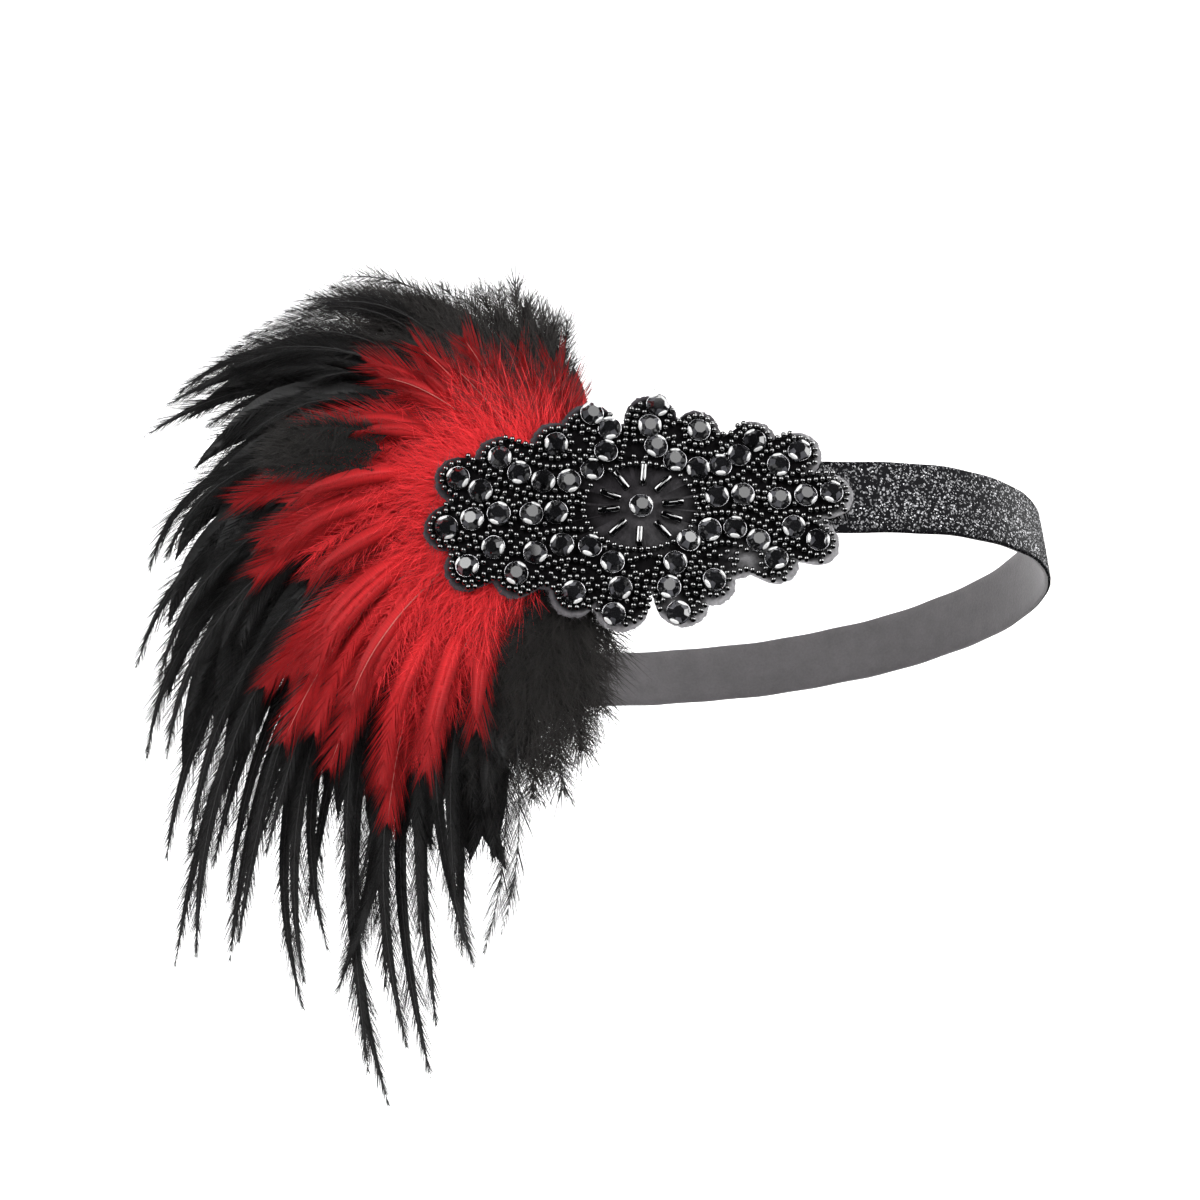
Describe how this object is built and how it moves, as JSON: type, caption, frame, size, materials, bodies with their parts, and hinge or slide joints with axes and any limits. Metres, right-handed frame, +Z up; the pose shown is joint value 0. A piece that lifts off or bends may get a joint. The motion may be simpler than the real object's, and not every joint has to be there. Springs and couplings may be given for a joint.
{
  "type": "feathered flapper headband",
  "caption": "Elastic glitter headband loop with a beaded felt appliqué on its front and a fan of black and red feathers behind one end of it.",
  "frame": {"origin": "centre of the head opening, at the middle of the band's loop", "axes": "+Z up as worn, the appliqué faces -Y, +X to the right of someone facing the appliqué"},
  "size_m": [0.2398, 0.1664, 0.2],
  "materials": {
    "band_velvet": "black velvet elastic covered in fine silver glitter, plain grey inside",
    "felt": "grey felt with a fuzzy cut edge",
    "stone": "faceted black stones with a mirror-like polish",
    "bugle_glass": "glossy opaque black glass",
    "feather_black": "soft black hackle and down",
    "feather_red": "soft red hackle and down"
  },
  "bodies": {
    "root": {"band": "band_velvet", "plume_black": "feather_black", "plume_red": "feather_red", "felt_backing": "felt", "stone_centre": "stone", "stone_row_upper_right": "stone", "stone_petal_tip_upper_right": "stone", "stone_petal_heel_upper_right": "stone", "stone_shoulder_upper_right": "stone", "stone_row_upper_left": "stone", "stone_petal_tip_upper_left": "stone", "stone_petal_heel_upper_left": "stone", "stone_shoulder_upper_left": "stone", "stone_row_lower_left": "stone", "stone_petal_tip_lower_left": "stone", "stone_petal_heel_lower_left": "stone", "stone_shoulder_lower_left": "stone", "stone_row_lower_right": "stone", "stone_petal_tip_lower_right": "stone", "stone_petal_heel_lower_right": "stone", "stone_shoulder_lower_right": "stone", "stone_axis_left_1": "stone", "stone_axis_left_2": "stone", "stone_axis_left_3": "stone", "stone_axis_left_4": "stone", "stone_axis_left_5": "stone", "stone_axis_right_1": "stone", "stone_axis_right_2": "stone", "stone_axis_right_3": "stone", "stone_axis_right_4": "stone", "stone_axis_right_5": "stone", "bugle_01": "bugle_glass", "bugle_02": "bugle_glass", "bugle_03": "bugle_glass", "bugle_04": "bugle_glass", "bugle_05": "bugle_glass", "bugle_06": "bugle_glass", "bugle_07": "bugle_glass", "bugle_08": "bugle_glass", "bugle_09": "bugle_glass", "bugle_10": "bugle_glass"}
  },
  "joints": []
}
